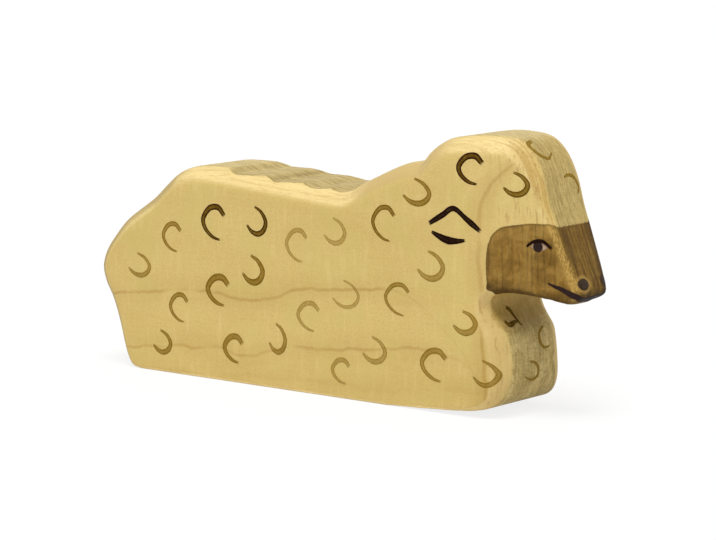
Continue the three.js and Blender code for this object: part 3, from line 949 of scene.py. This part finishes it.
@dataclass
class PaintedMark:
    """A mark of one or more strokes that stands for one packed film and fills the same place."""

    node: str
    strokes: tuple[Stroke, ...]
    brush: float  # full width of the brush, millimetres
    load: float  # how much paint the brush held, 0 to 1
    facing: Facing
    lift: float = 0.03  # how far the film stands off the wood, millimetres
    steps: int = 36
    lanes: int = 6
    depth: float = 0.12
    fit_rounds: int = 6
    fit_steps: int = 24

    def _fit(self) -> tuple[Plane, Plane]:
        """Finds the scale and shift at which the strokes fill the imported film's box.

        Returns:
            The scale along each axis and the shift, in metres.
        """
        _, across, up = self.facing.value
        low, high = ((corner[across], corner[up]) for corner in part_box(self.node))
        brush = self.brush * MM
        tips = 0.8 * brush  # the part of the size that the brush gives, at any scale of the line
        alongs = [-BEYOND, *(i / self.fit_steps for i in range(self.fit_steps + 1)), 1 + BEYOND]
        scale = (MM, MM)
        for _ in range(self.fit_rounds):
            spots = [
                stroke.spot(along, aside, scale, brush)
                for stroke in self.strokes
                for along in alongs
                for aside in (-1, 1)
                if 0 <= along <= 1 or aside == 1
            ]
            least = [min(spot[k] for spot in spots) for k in (0, 1)]
            most = [max(spot[k] for spot in spots) for k in (0, 1)]
            wanted = [high[k] - low[k] - tips for k in (0, 1)]
            found = [max(most[k] - least[k] - tips, 0.1 * MM) for k in (0, 1)]
            scale = tuple(scale[k] * wanted[k] / found[k] for k in (0, 1))
        shift = tuple((high[k] + low[k]) / 2 - (most[k] + least[k]) / 2 for k in (0, 1))
        return scale, shift

    def build(self, wood: WoodenBody, material: Material, slot: str) -> Object:
        """Lays the strokes on the wood.

        Args:
            wood: The body that carries the paint.
            material: The paint's finish.
            slot: The material slot that it stands for.

        Returns:
            The finished piece.
        """
        scale, shift = self._fit()
        film = bmesh.new()
        for stroke in self.strokes:
            self._lay(film, stroke, wood, scale, shift)
        cover = min(1, 0.35 + 0.75 * self.load)
        load = 1 - (1 - min(max((self.load - 0.15) / 0.85, 0), 1)) ** 1.5
        rules = {"cover": lambda v: cover, "load": lambda v: load}
        return laid(film, f"{self.node}_paint", self.node, material, slot, self.depth, rules)

    def _lay(self, film: BMesh, stroke: Stroke, wood: WoodenBody, scale: Plane, shift: Plane) -> None:
        """Adds one stroke to the film as a fine strip that follows the wood.

        Args:
            film: The film.
            stroke: The stroke.
            wood: The body that carries it.
            scale: How large it is drawn along each axis.
            shift: How far it is moved along each axis.
        """
        segments = {"x_segments": self.steps, "y_segments": self.lanes}
        made = bmesh.ops.create_grid(film, **segments, size=1, calc_uvs=False)
        fine = film.loops.layers.uv.verify()
        marks = {}
        for vertex in made["verts"]:
            along = (vertex.co.x + 1) / 2
            aside = vertex.co.y
            marks[vertex] = (along, (aside + 1) / 2)
            reach = -BEYOND if along < 0.001 else 1 + BEYOND if along > 0.999 else along
            spot = stroke.spot(reach, aside, scale, self.brush * MM)
            point = self.facing.point(spot[0] + shift[0], spot[1] + shift[1])
            vertex.co = wood.land(point, self.facing, self.lift)
        faces = list({face for vertex in made["verts"] for face in vertex.link_faces})
        for face in faces:
            for loop in face.loops:
                loop[fine].uv = marks[loop.vert]
        self.facing.turn(film, faces)


@dataclass
class Dab:
    """A round or pointed dab that stands for one packed film and fills its box."""

    node: str
    facing: Facing
    pointed: bool = False
    share: Plane = (1.0, 1.0)  # how much of the film's box it fills, along and up
    lift: float = 0.05
    depth: float = 0.14
    cells: int = 16

    def build(self, wood: WoodenBody, material: Material, slot: str) -> Object:
        """Lays the dab on the wood.

        Args:
            wood: The body that carries the paint.
            material: The paint's finish.
            slot: The material slot that it stands for.

        Returns:
            The finished piece.
        """
        _, across, up = self.facing.value
        low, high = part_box(self.node)
        middle = (low + high) / 2
        half = (high - low) / 2
        film = bmesh.new()
        made = bmesh.ops.create_grid(film, x_segments=self.cells, y_segments=self.cells, size=1)
        reaches = []
        for vertex in made["verts"]:
            a, b = vertex.co.x, vertex.co.y
            round_a = a * math.sqrt(1 - b * b / 2)
            round_b = b * math.sqrt(1 - a * a / 2)
            reaches.append(math.hypot(round_a, round_b))
            if self.pointed:
                round_b *= 0.25 + 0.75 * (1 - round_a**2)
            aside = middle[across] + round_a * half[across] * self.share[0]
            height = middle[up] + round_b * half[up] * self.share[1]
            vertex.co = wood.land(self.facing.point(aside, height), self.facing, self.lift)
        self.facing.turn(film, film.faces[:])
        rules = {"reach": lambda v: reaches[v.index]}
        return laid(film, f"{self.node}_paint", self.node, material, slot, self.depth, rules)


def apart(point: Plane, start: Plane, end: Plane) -> tuple[float, float]:
    """Measures from a point to a straight stretch.

    Args:
        point: The point.
        start: Where the stretch starts.
        end: Where it ends.

    Returns:
        The distance, and how far along the stretch it is least, 0 to 1.
    """
    ax, ay = end[0] - start[0], end[1] - start[1]
    px, py = point[0] - start[0], point[1] - start[1]
    share = min(max((px * ax + py * ay) / max(ax * ax + ay * ay, 1e-12), 0), 1)
    return math.hypot(px - ax * share, py - ay * share), share


@dataclass
class FaceSkin:
    """The stained muzzle and the mouth: pieces of the wood's own skin, lifted off it a little.

    Places are pairs of millimetres: back from the nose and down from the stain's top edge.
    """

    stain_node: str = "face_stain"
    mouth_node: str = "mouth"
    edge: Line = (
        *((18.6, 14.9), (19.7, 14.2), (19.6, 12.6), (19.8, 10.6), (19.8, 7.7), (19.4, 4.9), (18.4, 2.7)),
        *((16.5, 1.2), (13.7, 0.6), (10.6, 0.1), (7.6, 0.0), (6.2, 0.1), (5.3, 0.7), (4.4, 1.1), (2.0, 1.3)),
    )
    beyond: Plane = (-8.0, 30.0)  # the outline is closed ahead of the nose and below the jaw
    stain_reach: Plane = (20.8, 18.0)  # no point of the skin further back or down is looked at
    margin: float = 0.8  # how far outside the outline the skin is kept
    jowl_corner: Plane = (19.2, 13.6)
    stain_lift: float = 0.03
    stain_depth: float = 0.1
    mouth_line: Line = (
        *((6.6, 12.1), (5.3, 12.7), (4.0, 13.1), (2.6, 13.75)),
        *((1.3, 14.4), (0.4, 14.9), (0.0, 16.0)),
    )
    mouth_widths: tuple[float, ...] = (0.3, 0.7, 0.95, 1.2, 1.35, 1.3, 1.2)
    mouth_dip: float = 0.7  # the mouth hangs lower in the middle of the front
    mouth_back: float = 7.2
    mouth_margin: float = 3.2  # in half widths of the brush
    mouth_steps: int = 24
    mouth_lift: float = 0.07
    mouth_depth: float = 0.14
    nose: float = field(init=False)
    top: float = field(init=False)
    outline: list[Plane] = field(init=False)

    def __post_init__(self) -> None:
        """Reads where the nose and the stain's top edge are, and closes the stain's outline."""
        self.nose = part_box("wooden_body")[1].x
        self.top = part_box(self.stain_node)[1].z
        count = 4 * (len(self.edge) - 1)
        rim = [tuple(spline(self.edge, i / count)) for i in range(count + 1)]
        ahead, below = self.beyond
        self.outline = [*rim, (ahead, self.edge[-1][1]), (ahead, below), (self.edge[0][0], below)]

    def _place(self, point: Vector) -> Plane:
        """Turns a point in space into a place on the face."""
        return (self.nose - point.x) / MM, (self.top - point.z) / MM

    def _inset(self, place: Plane) -> float:
        """Measures how far a place lies inside the stain's outline.

        Args:
            place: The place.

        Returns:
            The distance in millimetres, below 0 outside the outline.
        """
        stretches = list(zip(self.outline, self.outline[1:] + self.outline[:1]))
        reach = min(apart(place, a, b)[0] for a, b in stretches)
        crossings = sum(
            (a[1] > place[1]) != (b[1] > place[1])
            and place[0] < (b[0] - a[0]) * (place[1] - a[1]) / (b[1] - a[1]) + a[0]
            for a, b in stretches
        )
        return reach if crossings % 2 else -reach

    def _jowl(self, v: MeshVertex) -> float:
        """How far a point lies in the jowl, 0 to 1."""
        back, down = self._place(v.co)
        return eased(down, 10.5, 13.5) * eased(back, 5, 13)

    def _corner(self, v: MeshVertex) -> float:
        """How near a point lies to the jowl's corner, 0 to 1."""
        back, down = self._place(v.co)
        return eased(math.hypot(back - self.jowl_corner[0], (down - self.jowl_corner[1]) * 1.4), 1.5, 0.4)

    def _below(self, v: MeshVertex) -> float:
        """Where shade is painted: how far a point faces down or lies low on the muzzle's front, 0 to 1."""
        back, down = self._place(v.co)
        return max(eased(-v.normal.z, 0.05, 0.5), 0.6 * eased(down, 13.2, 14.8) * eased(back, 9, 5))

    def _far(self, v: MeshVertex) -> float:
        """Where shade is painted: how far a point lies on the roll to the left cheek, 0 to 1."""
        roll = max(eased(v.normal.y, 0.0, 0.08), 0.6 * eased(v.co.y / MM, 2.6, 3.8))
        return roll * eased(v.normal.y, 0.85, 0.55)

    def _halo(self, v: MeshVertex) -> float:
        """How far a point lies in the paler ring round the right nostril.

        Args:
            v: The point.

        Returns:
            The share, 0 to 1.
        """
        low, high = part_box("right_nostril")
        aside = (v.co.y - (low.y + high.y) / 2) / (high.y - low.y)
        up = (v.co.z - (low.z + high.z) / 2) / (high.z - low.z)
        return eased(math.hypot(aside, up), 0.85, 0.6)

    def stain(self, wood: WoodenBody) -> Object:
        """Lifts the stained part of the skin and measures where each of its points lies.

        Args:
            wood: The body that is stained.

        Returns:
            The finished piece.
        """

        def stained(point: Vector) -> bool:
            """Whether a point lies in the stain or just outside it."""
            place = self._place(point)
            return place[1] < self.stain_reach[1] and self._inset(place) > -self.margin

        skin = self._skin(wood, self.stain_reach[0], stained, 0, self.stain_lift)
        rules = {
            "inset": lambda v: self._inset(self._place(v.co)),
            "front": lambda v: eased(v.normal.x, 0.6, 0.88),
            # the muzzle's rolled ridge, which takes painted highlight
            "rolled": lambda v: eased(v.normal.x, 0.32, 0.54) * eased(v.normal.x, 0.94, 0.72),
            "jowl": self._jowl,
            "corner": self._corner,
            # painted shade on the far roll and on faces turned down
            "far": self._far,
            "below": self._below,
            "halo": self._halo,
        }
        coat = FaceStain().material()
        return laid(skin, "face_stain_coat", self.stain_node, coat, "face_stain", self.stain_depth, rules)

    def mouth(self, wood: WoodenBody, material: Material) -> Object:
        """Lifts the skin along the mouth and measures how far each point lies from its middle line.

        Args:
            wood: The body that is painted.
            material: The paint's finish.

        Returns:
            The finished piece.
        """
        count = self.mouth_steps
        line = [tuple(spline(self.mouth_line, i / count)) for i in range(count + 1)]

        def reach(point: Vector) -> float:
            """Measures from a point to the mouth's middle line.

            Args:
                point: The point.

            Returns:
                The distance as a share of the brush's half width there.
            """
            back, down = self._place(point)
            dip = self.mouth_dip * eased(abs(point.y) / MM, 6, 3)
            best = math.inf
            for i in range(count):
                gap, share = apart((back, down - dip), line[i], line[i + 1])
                best = min(best, 2 * gap / between(self.mouth_widths, (i + share) / count))
            return best

        skin = self._skin(wood, self.mouth_back, lambda p: reach(p) < self.mouth_margin, 2, self.mouth_lift)
        rules = {"reach": lambda v: reach(v.co)}
        return laid(skin, "mouth_paint", self.mouth_node, material, "line_paint", self.mouth_depth, rules)

    def _skin(
        self, wood: WoodenBody, back: float, wanted: Callable[[Vector], bool], cuts: int, lift: float
    ) -> BMesh:
        """Copies a part of the wood's skin and lifts it off the wood along its normals.

        Args:
            wood: The body.
            back: How far back from the nose it reaches, in millimetres.
            wanted: Whether a point belongs to it.
            cuts: How often each edge is cut finer.
            lift: How far it is lifted, in millimetres.

        Returns:
            The open skin.
        """
        skin = bmesh.new()
        skin.from_mesh(wood.piece.data)
        limit = self.nose - back * MM
        kept = {v for v in skin.verts if v.co.x > limit and wanted(v.co)}
        lost = [face for face in skin.faces if not all(v in kept for v in face.verts)]
        bmesh.ops.delete(skin, geom=lost, context="FACES")
        if cuts:
            bmesh.ops.subdivide_edges(skin, edges=skin.edges[:], cuts=cuts, use_grid_fill=True)
        skin.normal_update()
        for vertex in skin.verts:
            vertex.co += vertex.normal * lift * MM
        return skin


class Curl(Enum):
    """The two ways that a curl of wool is brushed, drawn in a square from -1 to 1."""

    AHEAD = Stroke(
        ((0.95, 0.55), (0.45, 0.95), (-0.35, 0.85), (-0.95, 0.2), (-0.75, -0.4), (-0.1, -0.85), (0.6, -1)),
        (0.8, 1, 1, 0.9, 0.75, 0.6, 0.3),
    )
    BEHIND = Stroke(
        ((-0.15, 1), (0.55, 0.65), (1, -0.05), (0.75, -0.7), (0.15, -1), (-0.5, -0.85), (-1, -0.4)),
        (0.35, 0.65, 0.85, 1, 1, 0.75, 0.35),
    )


@dataclass
class Wool:
    """All curls of wool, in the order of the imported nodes: the way each opens, its brush and its load."""

    paint: BrushPaint = BrushPaint(
        "brown_wool_paint", colour(180, 149, 66), colour(184, 142, 8), colour(46, 16, 0)
    )
    right: tuple[tuple[Curl, float, float], ...] = (
        *((Curl.AHEAD, 1.38, 0.95), (Curl.BEHIND, 1.28, 0.64), (Curl.BEHIND, 1.3, 0.46)),
        *((Curl.AHEAD, 1.1, 0.56), (Curl.AHEAD, 1.36, 0.86), (Curl.BEHIND, 1.27, 0.8)),
        *((Curl.AHEAD, 1.12, 0.44), (Curl.AHEAD, 1.08, 0.21), (Curl.BEHIND, 1.15, 0.18)),
        *((Curl.BEHIND, 1.18, 0.34), (Curl.BEHIND, 1.55, 0.5), (Curl.AHEAD, 1.6, 0.48)),
        *((Curl.AHEAD, 1.12, 0.42), (Curl.BEHIND, 1.45, 0.32), (Curl.BEHIND, 0.86, 0.18)),
        *((Curl.AHEAD, 1.0, 0.4), (Curl.AHEAD, 1.12, 0.22), (Curl.BEHIND, 1.42, 0.36)),
        *((Curl.BEHIND, 1.28, 0.42), (Curl.AHEAD, 1.4, 0.42), (Curl.BEHIND, 1.28, 0.38)),
        *((Curl.BEHIND, 1.3, 0.26), (Curl.AHEAD, 1.35, 0.38), (Curl.AHEAD, 1.12, 0.24)),
        (Curl.BEHIND, 1.12, 0.38),
    )
    left: tuple[tuple[Curl, float, float], ...] = (
        *((Curl.AHEAD, 1.35, 0.9), (Curl.BEHIND, 1.2, 0.6), (Curl.BEHIND, 1.15, 0.5)),
        *((Curl.AHEAD, 1.1, 0.34), (Curl.BEHIND, 1.2, 0.46), (Curl.AHEAD, 1.3, 0.84)),
        *((Curl.BEHIND, 1.25, 0.76), (Curl.AHEAD, 1.1, 0.36), (Curl.BEHIND, 1.25, 0.34)),
        *((Curl.AHEAD, 1.1, 0.24), (Curl.BEHIND, 1.4, 0.5), (Curl.AHEAD, 1.45, 0.44)),
        *((Curl.BEHIND, 1.2, 0.32), (Curl.AHEAD, 1.15, 0.38), (Curl.BEHIND, 1.2, 0.28)),
    )
    front_brush: float = 1.1
    front_load: float = 0.44
    front_widths: tuple[float, ...] = (0.35, 0.6, 0.75, 0.7, 0.5, 0.25)
    crown: Line = ((-3.3, -1), (-5.1, -1.4), (-5.2, -2.4), (-4.3, -3.6), (-1.9, -4.5), (0.1, -3.4))
    brow: Line = ((1.1, -8.4), (2.7, -8.1), (4.3, -8.6), (5.2, -9.8), (5.4, -11), (4.6, -12.2))
    upper_chest: Line = ((4.9, 7.6), (3, 6.6), (2.5, 5.2), (3, 3.9), (4.2, 3.2), (5.9, 3.4))
    lower_chest: Line = ((-1.5, 1.2), (0.3, 0.6), (1.5, -0.7), (1.2, -2.4), (-0.9, -2.9), (-3.4, -1.9))
    throat: tuple[Line, ...] = (
        ((-3.7, -3.5), (-2.7, -4.3), (-2.2, -6.2), (-1.6, -7.5)),
        ((-6.3, -6.2), (-5.6, -6.9), (-3.6, -6.6), (-1.8, -6.4)),
    )
    throat_widths: tuple[float, ...] = (0.7, 0.9, 0.6, 0.3)
    throat_load: float = 0.75

    def marks(self) -> list[PaintedMark]:
        """Lists every curl.

        Returns:
            The curls as marks to be painted.
        """
        marks = []
        for side, facing, curls in (("right", Facing.RIGHT, self.right), ("left", Facing.LEFT, self.left)):
            for number, (curl, brush, load) in enumerate(curls, start=1):
                name = f"{side}_wool_curl_{number:02d}"
                marks.append(PaintedMark(name, (curl.value,), brush, load, facing))
        fronts = {
            "crown": self.crown,
            "brow": self.brow,
            "upper_chest": self.upper_chest,
            "lower_chest": self.lower_chest,
        }
        brush = self.front_brush
        for word, line in fronts.items():
            strokes = (Stroke(line, self.front_widths),)
            marks.append(PaintedMark(f"{word}_wool_curl", strokes, brush, self.front_load, Facing.FRONT))
        throat = tuple(Stroke(line, self.throat_widths) for line in self.throat)
        marks.append(PaintedMark("throat_wool_mark", throat, brush, self.throat_load, Facing.FRONT))
        return marks

    def build(self, wood: WoodenBody) -> None:
        """Paints all curls.

        Args:
            wood: The body that carries them.
        """
        material = self.paint.material()
        for mark in self.marks():
            mark.build(wood, material, "wool_paint")
            LOG.info("painted %s", mark.node)


@dataclass
class Face:
    """Stain, mouth, nostrils, eyes and ears."""

    ear_ridge: Stroke = Stroke(
        ((-33.3, 13.8), (-30, 15.7), (-27.1, 17.3), (-23.9, 15.2), (-20.9, 12.9)),
        (0.8, 1.1, 1.1, 1.05, 0.9, 1.15, 0.7),
    )
    ear_fold: Stroke = Stroke(
        ((-32.4, 12), (-30.2, 10.9), (-28.3, 10.3), (-26.2, 10.3), (-24.4, 10.6)),
        (0.55, 1.25, 1.5, 1.05, 0.5),
    )
    lid: Stroke = Stroke(
        ((-11.2, 10.2), (-10, 11.2), (-8.7, 11.6), (-7.3, 11.4), (-5.6, 10)),
        (0.4, 0.6, 0.75, 0.7, 0.55),
    )
    ear_brush: float = 1.15
    lid_brush: float = 1.0
    eye_share: Plane = (0.88, 0.8)
    pupil_share: Plane = (1.02, 1.0)
    right_nostril_share: Plane = (1.06, 1.06)
    left_nostril_share: Plane = (0.74, 1.06)
    line: BrushPaint = BrushPaint(
        "dark_line_paint", colour(60, 28, 12), colour(56, 25, 10), colour(24, 4, 0), 0.0
    )
    dark: DabPaint = DabPaint("dark_dab_paint", colour(30, 9, 5), colour(44, 20, 8), 1.0, 0.22)
    white: DabPaint = DabPaint("eye_white_paint", colour(196, 168, 142), colour(150, 112, 84), 0.85, 0.6)
    nostril: DabPaint = DabPaint("nostril_paint", colour(44, 26, 6), colour(70, 54, 34), 0.96, 0.2)

    def build(self, wood: WoodenBody) -> None:
        """Paints the face.

        Args:
            wood: The body that carries it.
        """
        line, dark, white, nostril = (
            paint.material() for paint in (self.line, self.dark, self.white, self.nostril)
        )
        skin = FaceSkin()
        skin.stain(wood)
        skin.mouth(wood, dark)
        for side, facing, share in (
            ("right", Facing.RIGHT, self.right_nostril_share),
            ("left", Facing.LEFT, self.left_nostril_share),
        ):
            for name, stroke in (("ear_ridge", self.ear_ridge), ("ear_fold", self.ear_fold)):
                mark = PaintedMark(f"{side}_{name}", (stroke,), self.ear_brush, 1.0, facing)
                mark.build(wood, line, "line_paint")
            Dab(f"{side}_eye_white", facing, True, self.eye_share, 0.06).build(wood, white, "eye_white")
            Dab(f"{side}_pupil", facing, False, self.pupil_share, 0.09).build(wood, dark, "line_paint")
            lid = PaintedMark(f"{side}_eyelid", (self.lid,), self.lid_brush, 1.0, facing, lift=0.12)
            lid.build(wood, line, "line_paint")
            dab = Dab(f"{side}_nostril", Facing.FRONT, False, share, 0.08)
            dab.build(wood, nostril, "line_paint")
            LOG.info("painted the %s eye, ear and nostril", side)


@dataclass
class Studio:
    """A plain pale floor, soft light and the photograph's point of view.

    The light comes from above, a little from the head's end and from the right flank's side.
    """

    eye: Vector = field(default_factory=lambda: Vector((0.40397, -0.50810, 0.12225)))
    target: Vector = field(default_factory=lambda: Vector((0.00149, 0.001, 0.02578)))
    lens: float = 152.04
    sensor: float = 36.0
    sky: float = 0.6
    key: float = 1.95
    key_from: Vector = field(default_factory=lambda: Vector((0.16, -0.28, 0.88)))
    key_spread: float = math.radians(28)
    floor_half: float = 12.0
    floor_colour: Colour = colour(246, 246, 246)
    floor_glow: float = 0.82

    def build(self) -> None:
        """Sets the floor, the lights, the world and the camera."""
        self._floor()
        self._light()
        self._world()
        self._camera()

    def _seen(self, tree: NodeTree) -> NodeSocket:
        """Masks the rays that show a background: from the camera, from gloss and through glass.

        Args:
            tree: The tree that the mask goes into.

        Returns:
            The mask's socket.
        """
        path = tree.nodes.new("ShaderNodeLightPath")
        seen = path.outputs["Is Camera Ray"]
        for name in ("Is Glossy Ray", "Is Transmission Ray"):
            larger = tree.nodes.new("ShaderNodeMath")
            larger.operation = "MAXIMUM"
            tree.links.new(seen, larger.inputs[0])
            tree.links.new(path.outputs[name], larger.inputs[1])
            seen = larger.outputs[0]
        return seen

    def _floor(self) -> None:
        """A pale floor that keeps the object's shadow and shows almost white."""
        sheet = bmesh.new()
        bmesh.ops.create_grid(sheet, x_segments=1, y_segments=1, size=self.floor_half)
        mesh = bpy.data.meshes.new("floor")
        sheet.to_mesh(mesh)
        sheet.free()
        floor = placed("floor", mesh)
        graph = Graph("pale_floor")
        matt = graph.node("ShaderNodeBsdfDiffuse", None, {"Color": self.floor_colour}).outputs[0]
        glow = graph.node("ShaderNodeEmission", None, {"Strength": 1.0}).outputs[0]
        share = Field(graph, self._seen(graph.tree)) * self.floor_glow
        look = graph.node("ShaderNodeMixShader", None, {0: share, 1: matt, 2: glow})
        output = graph.node("ShaderNodeOutputMaterial")
        graph.tree.links.new(look.outputs[0], output.inputs[0])
        mesh.materials.append(graph.material)

    def _light(self) -> None:
        """One wide soft key from above."""
        lamp = bpy.data.lights.new("soft_key", "SUN")
        lamp.energy = self.key
        lamp.angle = self.key_spread
        key = placed("soft_key", lamp)
        key.rotation_euler = self.key_from.to_track_quat("Z", "Y").to_euler()

    def _world(self) -> None:
        """White to the eye, and a plain level of light to the object."""
        world = bpy.data.worlds.new("studio")
        world.use_nodes = True
        tree = world.node_tree
        back = tree.nodes["Background"]
        strength = tree.nodes.new("ShaderNodeMapRange")
        tree.links.new(self._seen(tree), strength.inputs["Value"])
        strength.inputs["To Min"].default_value = self.sky
        strength.inputs["To Max"].default_value = 1.0
        back.inputs["Color"].default_value = (1, 1, 1, 1)
        tree.links.new(strength.outputs[0], back.inputs["Strength"])
        bpy.context.scene.world = world

    def _camera(self) -> None:
        """The photograph's point of view."""
        lens = bpy.data.cameras.new("view")
        lens.lens = self.lens
        lens.sensor_width = self.sensor
        lens.sensor_fit = "HORIZONTAL"
        lens.clip_end = 50
        camera = placed("view", lens)
        camera.location = self.eye
        camera.rotation_euler = (self.target - self.eye).to_track_quat("-Z", "Y").to_euler()
        bpy.context.scene.camera = camera
        bpy.context.scene.view_settings.view_transform = "Standard"


def main() -> None:
    """Builds the sheep in order: wood, wool, face, and the studio around it."""
    logging.basicConfig(level=logging.INFO, format="%(name)s: %(message)s")
    wood = WoodenBody()
    body = wood.build()
    LOG.info("remodelled %s with %d faces", body.name, len(body.data.polygons))
    Wool().build(wood)
    Face().build(wood)
    Studio().build()


if __name__ == "__main__":
    main()
